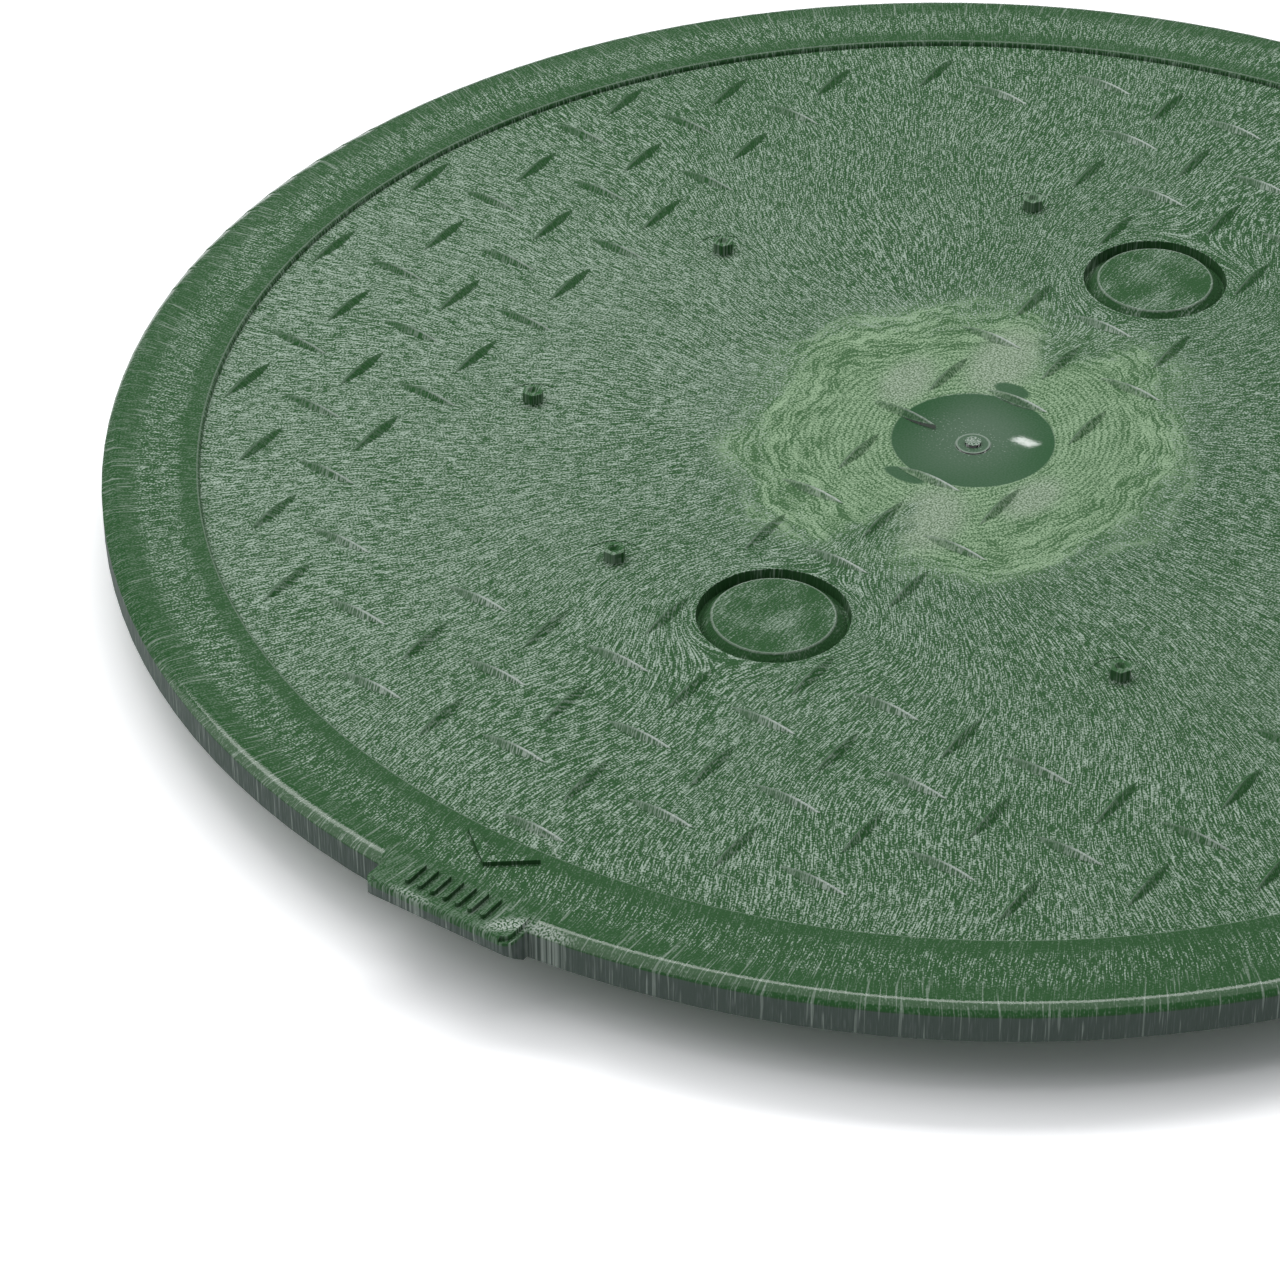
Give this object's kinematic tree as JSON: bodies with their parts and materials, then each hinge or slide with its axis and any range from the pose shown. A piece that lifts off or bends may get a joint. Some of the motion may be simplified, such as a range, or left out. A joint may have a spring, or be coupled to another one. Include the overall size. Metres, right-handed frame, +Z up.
{
  "type": "valve box cover",
  "caption": "Round green plastic cover for a buried valve box, with raised tread bars, knock-outs, a lift tab and a locating ring with ribs underneath.",
  "frame": {"origin": "on the disc's axis, at the lower edge of the locating ring, which is also the plane it rests on", "axes": "+Z up along the disc's axis, out of the tread; -Y towards the lift tab; X across the tab"},
  "size_m": [0.3, 0.304, 0.017],
  "materials": {
    "green_plastic": "satin moulded plastic with pale flow streaks"
  },
  "bodies": {
    "root": {"cover": "green_plastic"}
  },
  "joints": []
}
